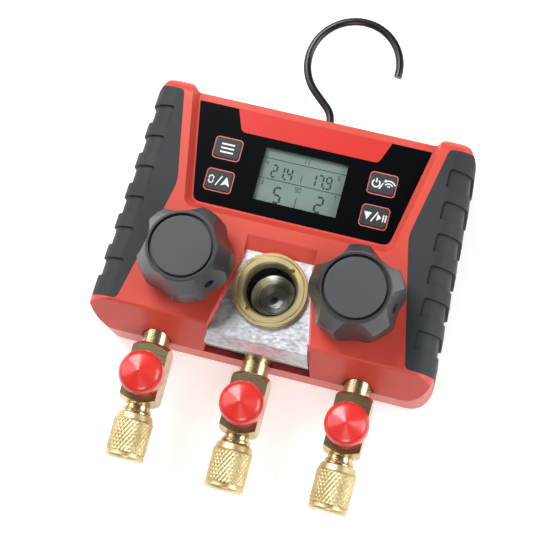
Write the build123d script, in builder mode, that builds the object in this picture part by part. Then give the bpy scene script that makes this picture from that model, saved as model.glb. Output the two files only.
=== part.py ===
from build123d import *
import os
from math import asin, cos, degrees, radians, sin

# ---------------------------------------------------------------------------
# Refrigerant manifold gauge. All sizes are in millimetres.
# X runs to the right, Y towards the hook, Z out of the front.
# The origin lies on the back face, straight under the sight glass.
# ---------------------------------------------------------------------------

# Clearances
run_gap = 0.05           # radial, between turning or sliding round pieces
seat_gap = 0.15          # between formed pieces that sit in each other
free_gap = 0.3           # around pieces that must not rub

# Housing: outline seen from the front
bottom_half = 67.9       # half width at the bottom edge
pillar_half = 63.6       # half width at the top of the side pillars
pillar_inner = 50.8      # inner end of the pillar top
notch_half = 47.6        # where the pillar drops to the top edge
bottom_y = -26.5
top_y = 70.2
pillar_top_y = 73.4
bottom_corner_r = 10.0
pillar_outer_r = 10.0
pillar_inner_r = 5.0
notch_r = 3.0

# Housing: depth
part_z = 27.0            # parting plane of the shells, and height of the port axes
panel_z = 39.0           # face of the display window
face_z = 43.5            # raised front face
crease_y = -18.0         # where the front face breaks into the bottom slope
shoulder_r = 9.0         # rounding of the long front edges
back_r = 7.0             # rounding of the long back edges
end_r = 6.5              # rounding of the top edges and the bottom back edge
crease_r = 1.5           # rounding of the slope's two creases
view_ease = 0.02         # the side view stands this far outside the front outline
least_r = 0.4            # smallest rounding left when an outline is drawn smaller
wall = 2.2
cavity_z = 35.5          # inner face of the front wall above the block

# Grips
grip_skin = 2.2
grip_top = (52.7, 68.9)
grip_knee = (45.4, 32.2)
grip_foot = (56.1, -17.0)
grip_foot_drop = 1.0
grip_back_width = 5.5    # of the strip that wraps onto the back
grip_knee_r = 15.0
grip_corner_r = 2.0
pad_count = 6
pad_first_y = 61.5       # upper edge of the first finger groove
pad_pitch = 12.6
pad_length = 7.4
pad_depth = 1.1
pad_width = 9.6          # from the side wall in to the groove's end
pad_corner_r = 1.2

# Display window and what lies under it
window_top_half = 46.2
window_top_y = 67.2
window_bottom_half = 38.6
window_bottom_y = 27.9
window_corner_r = 3.0
window_t = 1.2
window_border = 0.8      # flat border of the recess around the window
recess_draft = 2.0       # how far the recess side walls lean outwards
recess_bottom_draft = 3.0
label_top_half = 30.6
label_bottom_half = 27.2
label_bottom_y = 58.4
label_corner_r = 2.5
label_t = 0.4
lcd_half = 16.43
lcd_bottom_y = 33.7
lcd_top_y = 55.1
lcd_depth = 1.8          # of the glass below the window's face
lcd_t = 1.4
lcd_rim = 2.0            # bezel width around the visible glass
button_x = 30.8
button_y = (50.6, 37.5)
button_w = 10.0
button_h = 7.9
button_r = 1.3
button_proud = 0.5
button_travel = 0.8
mat_t = 2.0
blister = 0.1
board_t = 1.6
board_half = 50.0
board_low_y = 20.5
board_high_y = 64.0

# Manifold block
block_half = 47.0
block_top_y = 16.3
block_back_z = 14.0
block_face_z = 41.0
block_skin_gap = 2.4     # from the shell's bottom slope to the block's slope
block_low_y = -21.8
cut_top_half = 12.7      # flared opening in the front shell, over the block
cut_top_y = 13.4
cut_low_half = 20.5
cut_low_y = -23.5
cut_slope = 5.5          # sloped wall above the opening
cut_side_draft = 1.0
cut_corner_r = 1.5
boss_low_y = -24.0       # bottom face of the block inside the opening
boss_chamfer = 3.5
gallery_r = 2.5

# Sight glass
ring_r = 13.2
ring_bore_r = 10.2
ring_top_z = 43.6
ring_flange_z = 41.0
ring_spigot_r = 11.6
ring_spigot = 2.6
ring_key_r = 1.1
ring_key_angle = 54.0
gasket_t = 1.4
glass_t = 3.5
oring_t = 1.6
chamber_r = 9.2
chamber_floor_z = 22.0
chamber_cone_r = 3.5
chamber_cone_depth = 3.0

# Valves
valve_x = 32.8
valve_y = 4.1
valve_pitch = 1.5        # lift of the stem for one turn
valve_turns = 2
bonnet_thread_r = 8.0
bonnet_depth = 8.0
bonnet_hex = 19.0
bonnet_hex_top_z = 45.5
bonnet_top_z = 47.6
bonnet_neck_r = 7.0
bonnet_hole_r = 12.0     # clearance hole in the front shell
stem_r = 4.0
piston_r = 5.0
piston_low_z = 25.5
piston_top_z = 31.0
knob_low_z = 48.5
knob_top_z = 67.0
knob_r = 18.3
knob_rim_r = 13.5
knob_shoulder_z = 59.5
knob_edge_r = 1.5
knob_groove_r = 12.2
knob_groove_depth = 1.4
disc_r = 11.3
disc_t = 2.4
lobe_count = 5
lobe_phase = {"left": -3.0, "right": 28.0}
scoop_r = 16.0
scoop_top_valley = 13.3  # radius left at the knob's top by a scoop
scoop_low_valley = 16.7  # and at its base
set_screw_r = 2.0
set_screw_z = 55.5
set_screw_length = 6.0
set_screw_angle = {"left": -39.0, "right": -8.0}

# Ports
port_pitch = 40.0
stub_r = 5.5
stub_groove_r = 5.0
tee_side = 14.0
tee_top_y = -30.4
tee_length = 21.0
tee_chamfer = 1.6
centre_drop = 1.95       # the middle tee hangs lower by this much
neck_r = 4.85
neck_length = 3.0
thread_r = 5.55          # 7/16-20 UNF, 1/4 in SAE flare
thread_length = 10.0
flare_r = 3.6
flare_length = 2.2
port_bore_r = 2.4
stub_depth = 8.0         # of the stub in the block
branch_y = -11.3         # of the front branch, from the tee's upper end
branch_length = 8.0
core_r = 2.2
core_length = 7.0

# Caps
cap_length = 18.0
cap_r = 7.7
cap_collar_r = 6.9
cap_collar = 2.2
cap_rim = 2.6
cap_groove_r = 7.1
cap_groove = 0.8
cap_thread = 8.0         # depth of the threaded bore
cap_seal_t = 1.0
thread_rise = 1.27       # 20 threads to the inch
cap_turns = 8
dust_r = 8.45
dust_skirt = 8.2
dust_rise = 3.4          # of the shallow cone on the dust cap
dust_shoulder_r = 3.5
dust_gap = 0.1

# Hook
wire_r = 1.6
hook_x = 2.95
hook_z = 21.5
hook_low_y = 61.0
hook_bend_y = 74.2
hook_bend_r = 9.0
hook_bend_angle = 48.5
hook_run = 7.7
hook_loop_r = 18.85
hook_loop_angle = 121.0
hook_end_r = 18.15
hook_end_angle = 112.0
bush_r = 4.2
bush_flange_r = 5.2
bush_flange_t = 1.3
clip_r = 3.2
clip_t = 2.2

# Back: batteries and screws
cell_r = 7.1
cell_length = 50.0
cell_nipple_r = 2.7
cell_nipple = 1.2
cell_rows = (35.0, 51.0)
cell_z = 10.4
cell_split = 1.0         # half the wall between the two cells of a row
holder_wall = 1.4
door_t = 2.0
door_ledge = 2.5
door_recess = 0.3
boss_r = 4.0
boss_points = ((55.5, 66.0), (54.8, 19.5), (56.0, -12.0))
screw_r = 1.5
screw_head_r = 2.9
screw_head = 2.4
screw_sink = 6.0
screw_bite = 5.5
block_screw_points = ((41.0, 11.0), (41.0, -15.0))
block_screw_r = 2.0
block_screw_head_r = 3.6
sensor_r = 5.0
sensor_length = 13.0
sensor_x = 38.0
sensor_z = 24.0
sensor_neck_r = 3.0

# Derived places
sides = {"left": -1, "right": 1}
ports = {"left": -1, "centre": 0, "right": 1}
cavity_inset = grip_skin + wall
window_low_z = panel_z - window_t
mat_top_z = cavity_z
board_top_z = mat_top_z - mat_t
stem_top_z = knob_top_z - disc_t - 1.5
os.makedirs("parts", exist_ok=True)


def slope_y(z):
    """Y of the housing's bottom slope at height z."""
    share = (face_z - z) / (face_z - part_z)
    return crease_y + (bottom_y - crease_y) * share


def side_x(y):
    """Half width of the housing at y."""
    share = (y - bottom_y) / (pillar_top_y - bottom_y)
    return bottom_half + (pillar_half - bottom_half) * share


def both_sides(right_half):
    """Close a right-hand run of points with its mirror image."""
    return list(right_half) + [(-x, y) for x, y in reversed(right_half)]


def shrink(corners, radii, inset):
    """Corners and radii of a counter-clockwise outline after every side moves in by inset."""
    points = [Vector(*corner) for corner in corners]
    moved = []
    moved_radii = []
    for i, here in enumerate(points):
        arriving = (here - points[i - 1]).normalized()
        leaving = (points[(i + 1) % len(points)] - here).normalized()
        normal_in = Vector(-arriving.Y, arriving.X)
        normal_out = Vector(-leaving.Y, leaving.X)
        shift = (normal_in + normal_out) * (inset / (1 + normal_in.dot(normal_out)))
        turn = arriving.cross(leaving).Z
        moved.append(tuple(here + shift)[:2])
        moved_radii.append(max(radii[i] - inset, least_r) if turn > 0 else radii[i] + inset)
    return moved, moved_radii


def rounded_face(plane, corners, radii, inset=0.0):
    """Closed outline with rounded corners, drawn smaller by inset."""
    moved, moved_radii = shrink(corners, radii, inset)
    with BuildSketch(plane) as face:
        with BuildLine():
            FilletPolyline(*moved, radius=moved_radii, close=True)
        make_face()
    return face.sketch


def trapezoid(plane, top_half, top, low_half, low, low_r, top_r):
    """Symmetrical trapezoid with its own radii at the bottom and the top."""
    corners = [(low_half, low), (top_half, top), (-top_half, top), (-low_half, low)]
    return rounded_face(plane, corners, (low_r, top_r, top_r, low_r))


def flank(inset):
    """Prism that runs down the right side along its flare, with rounded front and back edges."""
    run = Vector(pillar_half - bottom_half, pillar_top_y - bottom_y)
    outwards = Vector(run.Y, -run.X)
    start = Vector(pillar_half, pillar_top_y) + run * 0.2
    across = Plane(origin=start, x_dir=outwards, z_dir=-run)
    corners = [(-3 * bottom_half, 0), (0, 0), (0, face_z), (-3 * bottom_half, face_z)]
    section = rounded_face(across, corners, (least_r, back_r, shoulder_r, least_r), inset)
    with BuildPart() as prism:
        extrude(section, amount=1.4 * run.length)
    return prism.part


def housing_form(inset):
    """Whole outer form of the housing, drawn smaller by inset: the right half of the front
    outline, cut by the flank and by the side view, and its mirror image."""
    outline = rounded_face(
        Plane.XY.offset(-1),
        [(-notch_half, bottom_y), (bottom_half, bottom_y), (pillar_half, pillar_top_y),
         (pillar_inner, pillar_top_y), (notch_half, top_y), (-notch_half, top_y)],
        (least_r, bottom_corner_r, pillar_outer_r, pillar_inner_r, notch_r, least_r), inset)
    side = rounded_face(
        Plane.YZ.offset(-notch_half),
        [(bottom_y - view_ease, 0), (pillar_top_y + view_ease, 0),
         (pillar_top_y + view_ease, face_z), (crease_y, face_z), (bottom_y - view_ease, part_z)],
        (end_r, end_r, end_r, crease_r, crease_r), inset)
    with BuildPart() as form:
        extrude(outline, amount=face_z + 2)
        add(flank(inset), mode=Mode.INTERSECT)
        extrude(side, amount=2 * bottom_half, mode=Mode.INTERSECT)
        split(bisect_by=Plane.YZ, keep=Keep.TOP)
        mirror(about=Plane.YZ)
    return form.part


def cavity(low_y, low_z, high_z):
    """Hollow of a shell: the front outline, two walls smaller, from low_y upwards."""
    half = [(bottom_half, low_y - cavity_inset), (pillar_half, pillar_top_y),
            (pillar_inner, pillar_top_y), (notch_half, top_y)]
    radii = [bottom_corner_r, pillar_outer_r, pillar_inner_r, notch_r]
    outline = rounded_face(Plane.XY.offset(low_z), both_sides(half), radii + radii[::-1],
                           cavity_inset)
    with BuildPart() as hollow:
        extrude(outline, amount=high_z - low_z)
    return hollow.part


def revolved(axis_plane, profile):
    """Round solid from a half profile of (radius, height) points about a plane's Z axis."""
    upright = Plane(origin=axis_plane.origin, x_dir=axis_plane.x_dir, z_dir=-axis_plane.y_dir)
    with BuildPart() as turned:
        with BuildSketch(upright):
            with BuildLine():
                Polyline(*profile, close=True)
            make_face()
        revolve(axis=Axis(axis_plane.origin, axis_plane.z_dir))
    return turned.part


def rod(plane, radius, low, high):
    """Cylinder on a plane's Z axis, from height low to height high."""
    with BuildPart() as cylinder:
        with BuildSketch(plane.offset(low)):
            Circle(radius)
        extrude(amount=high - low)
    return cylinder.part


def bar(x_half, y_low, y_high, z_low, z_high):
    """Block that is symmetrical about the middle of the housing."""
    with BuildPart() as block:
        with BuildSketch(Plane.XY.offset(z_low)):
            with Locations((0, (y_low + y_high) / 2)):
                Rectangle(2 * x_half, y_high - y_low)
        extrude(amount=z_high - z_low)
    return block.part


def keep(builder, name):
    """Label a finished piece and write it to its own file."""
    builder.part.label = name
    export_step(builder.part, f"parts/{name}.step")


def port_plane(port):
    """Plane on a port's axis with Z pointing out of the port, down the housing."""
    return Plane(origin=(ports[port] * port_pitch, 0, part_z), x_dir=(1, 0, 0), z_dir=(0, -1, 0))


def tee_top(port):
    """Y of the upper end of a port's square tee."""
    return tee_top_y - (centre_drop if port == "centre" else 0.0)


def valve_plane(side):
    return Plane(origin=(sides[side] * valve_x, valve_y, 0), x_dir=(1, 0, 0), z_dir=(0, 0, 1))


def front_axis(x, y):
    return Plane(origin=(x, y, 0), x_dir=(1, 0, 0), z_dir=(0, 0, 1))


# ---------------------------------------------------------------------------
# Forms that several pieces share
# ---------------------------------------------------------------------------

outer_form = housing_form(0.0)
skin_form = housing_form(grip_skin)
pad_form = housing_form(pad_depth)

# Region of the right grip, seen from the front, through the whole depth
reach = 1.3 * bottom_half
grip_points = [grip_foot, (reach, grip_foot[1] - grip_foot_drop), (reach, grip_top[1] + 1.5),
               grip_top, grip_knee]
grip_radii = (grip_corner_r, least_r, least_r, grip_corner_r, grip_knee_r)
grip_region = rounded_face(Plane.XY, grip_points, grip_radii)

rear_region = rounded_face(
    Plane.XY,
    [(side_x(grip_foot[1]) - grip_back_width, grip_foot[1]), (reach, grip_foot[1] - grip_foot_drop),
     (reach, grip_top[1] + 1.5), (side_x(grip_top[1]) - grip_back_width, grip_top[1])],
    (grip_corner_r, least_r, least_r, grip_corner_r))

# Layer that the right grip fills: the region outside the skin form
with BuildPart() as grip_bed:
    extrude(Location((0, 0, part_z)) * grip_region, amount=face_z - part_z)
    extrude(rear_region, amount=part_z)
    add(outer_form, mode=Mode.INTERSECT)
    add(skin_form, mode=Mode.SUBTRACT)

# Arch-topped finger grooves, one above another along the flare of the side
with BuildPart() as grip_grooves:
    for i in range(pad_count):
        upper = pad_first_y - i * pad_pitch
        inner = side_x(upper) - pad_width
        groove = rounded_face(
            Plane.XY,
            [(inner, upper - pad_length), (reach, upper - pad_length - 1.0), (reach, upper - 1.5),
             (inner, upper)],
            (least_r, least_r, least_r, pad_corner_r))
        extrude(groove, amount=face_z)
    add(pad_form, mode=Mode.SUBTRACT)

# ---------------------------------------------------------------------------
# Grips
# ---------------------------------------------------------------------------

parting = Plane.XY.offset(part_z)
for half_name, kept in (("front", Keep.TOP), ("rear", Keep.BOTTOM)):
    for side in sides:
        with BuildPart() as grip:
            add(grip_bed.part)
            add(grip_grooves.part, mode=Mode.SUBTRACT)
            split(bisect_by=parting, keep=kept)
            if side == "left":
                mirror(about=Plane.YZ, mode=Mode.REPLACE)
        keep(grip, f"{side}_grip_{half_name}")

# ---------------------------------------------------------------------------
# Manifold block
# ---------------------------------------------------------------------------


def opening_face(z, gap, draft):
    """Flared opening over the block at height z, drawn smaller by gap, wider by draft."""
    flare = (cut_low_half - cut_top_half) / (cut_top_y - cut_low_y)
    low = 2 * bottom_y
    low_half = cut_top_half + flare * (cut_top_y - low)
    return trapezoid(Plane.XY.offset(z), cut_top_half - gap + draft, cut_top_y - gap + draft,
                     low_half - gap + draft, low, least_r, cut_corner_r)


slope_run = Vector(bottom_y - crease_y, part_z - face_z)
block_shift = block_skin_gap * slope_run.length / (face_z - part_z)
block_corner_z = face_z - (crease_y + block_shift - block_low_y) * (face_z - part_z) / (crease_y - bottom_y)


def block_side(plane, back_z, gap):
    """Side view of the block: its bottom front edge runs along the shell's slope."""
    with BuildSketch(plane) as view:
        with BuildLine():
            Polyline((block_top_y + gap, back_z), (block_top_y + gap, block_face_z),
                     (slope_y(block_face_z) + block_shift, block_face_z),
                     (block_low_y, block_corner_z), (block_low_y, back_z), close=True)
        make_face()
    return view.sketch


with BuildPart() as manifold_block:
    extrude(block_side(Plane.YZ.offset(-block_half), block_back_z, 0), amount=2 * block_half)
    # nose that fills the shell's opening down to the ports
    extrude(opening_face(block_back_z, free_gap, 0), amount=block_face_z - block_back_z)
    with BuildSketch(Plane.XY.offset(block_back_z)):
        with Locations((0, boss_low_y - bottom_half)):
            Rectangle(3 * bottom_half, 2 * bottom_half)
    extrude(amount=face_z, mode=Mode.SUBTRACT)
    front_low = edges().filter_by(Axis.X).filter_by_position(Axis.Y, boss_low_y - 0.01, boss_low_y + 0.01)
    chamfer(front_low.sort_by(Axis.Z)[-1], boss_chamfer)
    # chamber of the sight glass, with its machined cone
    glass_low_z = ring_flange_z - ring_spigot - gasket_t - glass_t - oring_t
    add(rod(front_axis(0, 0), ring_spigot_r, glass_low_z, face_z), mode=Mode.SUBTRACT)
    add(rod(front_axis(0, 0), chamber_r, chamber_floor_z, face_z), mode=Mode.SUBTRACT)
    with Locations((0, 0, chamber_floor_z - chamber_cone_depth / 2)):
        Cone(gallery_r, chamber_r - 1.5, chamber_cone_depth, mode=Mode.SUBTRACT)
    # valve bores with their bonnet seats
    for side in sides:
        add(rod(valve_plane(side), piston_r + run_gap, piston_low_z - 2, face_z), mode=Mode.SUBTRACT)
        add(rod(valve_plane(side), bonnet_thread_r, block_face_z - bonnet_depth, face_z),
            mode=Mode.SUBTRACT)
    # port bores, and the galleries that join them to the valves and the chamber
    for port in ports:
        depth = -block_low_y if port != "centre" else -boss_low_y
        add(rod(port_plane(port), stub_r, depth - stub_depth, 2 * depth), mode=Mode.SUBTRACT)
        add(rod(port_plane(port), gallery_r, -valve_y, depth), mode=Mode.SUBTRACT)
    cross = Plane(origin=(0, valve_y, part_z), x_dir=(0, 1, 0), z_dir=(1, 0, 0))
    add(rod(cross, gallery_r, -port_pitch, port_pitch), mode=Mode.SUBTRACT)
    # sensor ports at the upper side, screw holes at the back
    for side in sides.values():
        sensor_axis = Plane(origin=(side * sensor_x, 0, sensor_z), x_dir=(1, 0, 0), z_dir=(0, 1, 0))
        add(rod(sensor_axis, sensor_neck_r, valve_y, block_top_y + 1), mode=Mode.SUBTRACT)
        for x, y in block_screw_points:
            add(rod(front_axis(side * x, y), block_screw_r, 0, block_back_z + screw_bite),
                mode=Mode.SUBTRACT)
keep(manifold_block, "manifold_block")

# ---------------------------------------------------------------------------
# Sight glass, built up in its chamber
# ---------------------------------------------------------------------------

spigot_low_z = ring_flange_z - ring_spigot
with BuildPart() as sight_ring:
    add(rod(front_axis(0, 0), ring_r, ring_flange_z, ring_top_z))
    add(rod(front_axis(0, 0), ring_spigot_r, spigot_low_z, ring_flange_z))
    chamfer(faces().sort_by(Axis.Z)[-1].edges(), 0.5)
    add(rod(front_axis(0, 0), ring_bore_r, spigot_low_z, ring_top_z), mode=Mode.SUBTRACT)
    chamfer(faces().sort_by(Axis.Z)[-1].edges().sort_by(SortBy.RADIUS)[0], 0.6)
    # two holes for a pin spanner, broken into the bore
    with BuildSketch(Plane.XY.offset(ring_flange_z + 0.6)):
        with PolarLocations(ring_bore_r + 0.5, 2, start_angle=ring_key_angle):
            Circle(ring_key_r)
    extrude(amount=ring_top_z, mode=Mode.SUBTRACT)
keep(sight_ring, "sight_ring")

with BuildPart() as sight_gasket:
    with BuildSketch(Plane.XY.offset(spigot_low_z - gasket_t)):
        Circle(ring_spigot_r)
        Circle(ring_bore_r - 0.5, mode=Mode.SUBTRACT)
    extrude(amount=gasket_t)
keep(sight_gasket, "sight_gasket")

with BuildPart() as sight_glass:
    add(rod(front_axis(0, 0), ring_spigot_r - seat_gap, glass_low_z + oring_t,
            spigot_low_z - gasket_t))
    chamfer(edges().filter_by(GeomType.CIRCLE), 0.3)
keep(sight_glass, "sight_glass")

with BuildPart() as sight_oring:
    with BuildSketch(Plane.XZ):
        with Locations((ring_spigot_r - seat_gap - oring_t / 2, glass_low_z + oring_t / 2)):
            Circle(oring_t / 2)
    revolve(axis=Axis.Z)
keep(sight_oring, "sight_oring")

# ---------------------------------------------------------------------------
# Valves: bonnet, stem, piston, knob with its disc and set screw
# ---------------------------------------------------------------------------

scoop_lean = degrees(asin((scoop_low_valley - scoop_top_valley) / (knob_top_z - knob_low_z)))


def knob_scoops(phase):
    """Leaning cylinders that cut the hollows between the lobes."""
    with BuildPart() as scoops:
        for i in range(lobe_count):
            turn = phase + (i + 0.5) * 360 / lobe_count
            outwards = Vector(cos(radians(turn)), sin(radians(turn)), 0)
            foot = outwards * (scoop_low_valley + scoop_r)
            lean = Vector(0, 0, cos(radians(scoop_lean))) - outwards * sin(radians(scoop_lean))
            with BuildSketch(Plane(origin=foot + Vector(0, 0, knob_low_z), z_dir=lean).offset(-5)):
                Circle(scoop_r)
            extrude(amount=2 * (knob_top_z - knob_low_z))
    return scoops.part


for side in sides:
    axis = valve_plane(side)
    with BuildPart() as valve_bonnet:
        add(rod(axis, bonnet_thread_r, block_face_z - bonnet_depth, block_face_z))
        with BuildSketch(axis.offset(block_face_z)):
            RegularPolygon(bonnet_hex / 2, 6, major_radius=False)
        extrude(amount=bonnet_hex_top_z - block_face_z)
        add(rod(axis, bonnet_neck_r, bonnet_hex_top_z, bonnet_top_z))
        chamfer(faces().sort_by(Axis.Z)[-1].edges(), 0.6)
        add(rod(axis, stem_r + run_gap, 0, face_z * 2), mode=Mode.SUBTRACT)
        add(rod(axis, piston_r + run_gap, 0, piston_top_z + 2 + valve_pitch * valve_turns),
            mode=Mode.SUBTRACT)
    keep(valve_bonnet, f"{side}_valve_bonnet")

    with BuildPart() as valve_piston:
        add(rod(axis, piston_r, piston_low_z, piston_top_z))
        chamfer(faces().sort_by(Axis.Z)[0].edges(), 1.2)
        add(rod(axis, stem_r / 2 + run_gap, piston_top_z - 2, piston_top_z), mode=Mode.SUBTRACT)
    keep(valve_piston, f"{side}_valve_piston")

    with BuildPart() as valve_stem:
        add(rod(axis, stem_r, piston_top_z, stem_top_z))
        add(rod(axis, stem_r / 2, piston_top_z - 1.9, piston_top_z))
    keep(valve_stem, f"{side}_valve_stem")

    with BuildPart() as knob:
        upright = Plane(origin=axis.origin, x_dir=(1, 0, 0), z_dir=(0, -1, 0))
        with BuildSketch(upright):
            with BuildLine():
                Polyline((0, knob_low_z), (knob_r - 0.8, knob_low_z), (knob_r, knob_low_z + 2),
                         (knob_r - 0.6, knob_shoulder_z), (knob_rim_r, knob_top_z - 0.6),
                         (knob_rim_r - 0.5, knob_top_z), (0, knob_top_z), close=True)
            make_face()
        revolve(axis=Axis(axis.origin, axis.z_dir))
        fillet(edges().filter_by(GeomType.CIRCLE).group_by(Axis.Z)[2], 3.5)
        add(Location(axis.origin) * knob_scoops(lobe_phase[side]), mode=Mode.SUBTRACT)
        add(rod(axis, knob_groove_r, knob_top_z - knob_groove_depth, knob_top_z + 1),
            mode=Mode.SUBTRACT)
        add(rod(axis, disc_r, knob_top_z - disc_t, knob_top_z + 1), mode=Mode.SUBTRACT)
        add(rod(axis, stem_r, knob_low_z - 1, stem_top_z), mode=Mode.SUBTRACT)
        # hollow underside around the hub
        with BuildSketch(axis.offset(knob_low_z)):
            Circle(scoop_low_valley - 3.0)
            Circle(bonnet_neck_r + 1.5, mode=Mode.SUBTRACT)
        extrude(amount=4, mode=Mode.SUBTRACT)
        screw_turn = radians(set_screw_angle[side])
        screw_plane = Plane(origin=Vector(*axis.origin) + Vector(0, 0, set_screw_z),
                            z_dir=(cos(screw_turn), sin(screw_turn), 0))
        add(rod(screw_plane, set_screw_r, stem_r, 2 * knob_r), mode=Mode.SUBTRACT)
    keep(knob, f"{side}_knob")

    with BuildPart() as set_screw:
        add(rod(screw_plane, set_screw_r, stem_r, stem_r + set_screw_length))
        with BuildSketch(screw_plane.offset(stem_r + set_screw_length)):
            RegularPolygon(1.0, 6)
        extrude(amount=-2, mode=Mode.SUBTRACT)
    keep(set_screw, f"{side}_knob_set_screw")

    with BuildPart() as knob_disc:
        add(rod(axis, disc_r, knob_top_z - disc_t, knob_top_z - 0.2))
        fillet(faces().sort_by(Axis.Z)[-1].edges(), 0.4)
    keep(knob_disc, f"{side}_knob_disc")

# ---------------------------------------------------------------------------
# Ports: turned stub, square tee, threaded end, front branch with its core
# ---------------------------------------------------------------------------

branch_z = part_z + tee_side / 2
for port in ports:
    axis = port_plane(port)
    port_x = ports[port] * port_pitch
    tee_high = -tee_top(port)
    stub_start = (-boss_low_y if port == "centre" else -block_low_y) - stub_depth
    neck_start = tee_high + tee_length
    thread_start = neck_start + neck_length
    thread_end = thread_start + thread_length
    branch = front_axis(port_x, -(tee_high - branch_y))
    with BuildPart() as port_fitting:
        add(rod(axis, stub_r, stub_start, tee_high - tee_chamfer))
        # square bar with turned cones at both ends
        with BuildSketch(axis.offset(tee_high - tee_chamfer)):
            Rectangle(tee_side, tee_side)
        extrude(amount=tee_length + 2 * tee_chamfer)
        cone_end = tee_side / 2 * 0.98
        add(revolved(axis, [(0, tee_high - tee_chamfer), (cone_end - 1, tee_high - tee_chamfer),
                            (tee_side, tee_high + 3.6), (tee_side, neck_start - 3.6),
                            (cone_end - 1, neck_start + tee_chamfer),
                            (0, neck_start + tee_chamfer)]), mode=Mode.INTERSECT)
        add(rod(axis, stub_r, stub_start, tee_high + 1))
        add(rod(axis, neck_r, neck_start - 1, thread_start + 0.5))
        add(revolved(axis, [(0, thread_start), (thread_r - 0.6, thread_start),
                            (thread_r, thread_start + 0.6), (thread_r, thread_end - 0.8),
                            (thread_r - 0.8, thread_end), (flare_r + 0.8, thread_end),
                            (flare_r - 1.0, thread_end + flare_length), (0, thread_end + flare_length)]))
        # threaded branch on the front face
        add(rod(branch, thread_r, branch_z - 1, branch_z + branch_length))
        chamfer(faces().sort_by(Axis.Z)[-1].edges(), 0.6)
        add(rod(branch, core_r + 0.4, branch_z, branch_z + branch_length), mode=Mode.SUBTRACT)
        add(rod(branch, port_bore_r, part_z, branch_z + branch_length), mode=Mode.SUBTRACT)
        add(rod(axis, port_bore_r, stub_start, thread_end + flare_length), mode=Mode.SUBTRACT)
        # turned ring in the middle stub, just below the block
        if port == "centre":
            with BuildSketch(axis.offset(-boss_low_y + 1.6)):
                Circle(stub_r + 1)
                Circle(stub_groove_r, mode=Mode.SUBTRACT)
            extrude(amount=0.8, mode=Mode.SUBTRACT)
    keep(port_fitting, f"{port}_port_fitting")

    with BuildPart() as valve_core:
        add(rod(branch, core_r, part_z + tee_side / 2 - 1, branch_z + core_length - 1.5))
        add(rod(branch, 0.6, branch_z + core_length - 1.5, branch_z + core_length))
    keep(valve_core, f"{port}_valve_core")

    cap_low = neck_start + neck_length + 2.0
    cap_high = cap_low + cap_length
    seat = thread_end + flare_length
    with BuildPart() as flare_cap:
        groove_at = cap_high - cap_rim - cap_groove
        add(revolved(axis, [(0, cap_low), (cap_collar_r - 0.6, cap_low), (cap_collar_r, cap_low + 0.6),
                            (cap_collar_r, cap_low + cap_collar), (cap_r, cap_low + cap_collar + 0.6),
                            (cap_r, groove_at), (cap_groove_r, groove_at),
                            (cap_groove_r, groove_at + cap_groove), (cap_r - 0.2, groove_at + cap_groove),
                            (cap_r - 0.2, cap_high - 1.2), (cap_r - 1.2, cap_high), (0, cap_high)]))
        add(rod(axis, thread_r + run_gap, cap_low, thread_end + 0.4), mode=Mode.SUBTRACT)
        add(rod(axis, thread_r - 0.6, cap_low, seat + cap_seal_t), mode=Mode.SUBTRACT)
    keep(flare_cap, f"{port}_flare_cap")

    with BuildPart() as cap_seal:
        add(rod(axis, thread_r - 0.6 - run_gap, seat, seat + cap_seal_t))
    keep(cap_seal, f"{port}_flare_cap_seal")

    with BuildPart() as dust_cap:
        dust_low = branch_z + dust_gap
        dust_mid = dust_low + dust_skirt
        add(revolved(branch, [(0, dust_low), (dust_r - 0.6, dust_low), (dust_r, dust_low + 1.2),
                              (dust_r, dust_mid), (0, dust_mid + dust_rise)]))
        fillet(edges().filter_by(GeomType.CIRCLE).sort_by(Axis.Z)[-1], dust_shoulder_r)
        add(rod(branch, thread_r + dust_gap, dust_low, branch_z + branch_length + dust_gap),
            mode=Mode.SUBTRACT)
    keep(dust_cap, f"{port}_dust_cap")

# ---------------------------------------------------------------------------
# Display: window, label, glass, bezel, buttons, mat and board
# ---------------------------------------------------------------------------


def window_face(z, gap=0.0, draft=0.0, low_draft=0.0, top=window_top_y):
    """Outline of the display window at height z, larger by gap, with leaning sides."""
    lean = (window_top_half - window_bottom_half) / (window_top_y - window_bottom_y)
    low = window_bottom_y - gap - low_draft
    grow = gap + draft
    return trapezoid(Plane.XY.offset(z), window_bottom_half + lean * (top - window_bottom_y) + grow,
                     top + gap, window_bottom_half + lean * (low - window_bottom_y) + grow, low,
                     window_corner_r + gap, least_r)


lcd_centre_y = (lcd_bottom_y + lcd_top_y) / 2
lcd_height = lcd_top_y - lcd_bottom_y
button_points = [(side * button_x, y) for y in button_y for side in (-1, 1)]


def button_face(grow):
    """Rounded rectangles of the four buttons, each side moved out by grow."""
    with BuildSketch(Plane.XY) as shapes:
        with Locations(*button_points):
            RectangleRounded(button_w + 2 * grow, button_h + 2 * grow, button_r + grow / 2)
    return shapes.sketch


with BuildPart() as display_window:
    extrude(window_face(window_low_z), amount=window_t)
    with BuildSketch(Plane.XY.offset(window_low_z)):
        with Locations((0, lcd_centre_y)):
            Rectangle(2 * lcd_half, lcd_height)
    extrude(amount=window_t, mode=Mode.SUBTRACT)
    extrude(Location((0, 0, window_low_z)) * button_face(seat_gap), amount=window_t,
            mode=Mode.SUBTRACT)
keep(display_window, "display_window")

with BuildPart() as label_plate:
    label_face = trapezoid(Plane.XY.offset(panel_z), label_top_half, window_top_y,
                           label_bottom_half, label_bottom_y, label_corner_r, least_r)
    extrude(label_face, amount=label_t)
keep(label_plate, "label_plate")

glass_top_z = panel_z - lcd_depth
with BuildPart() as lcd_glass:
    with BuildSketch(Plane.XY.offset(glass_top_z - lcd_t)):
        with Locations((0, lcd_centre_y)):
            Rectangle(2 * (lcd_half + lcd_rim / 2), lcd_height + lcd_rim)
    extrude(amount=lcd_t)
keep(lcd_glass, "lcd_glass")

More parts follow.
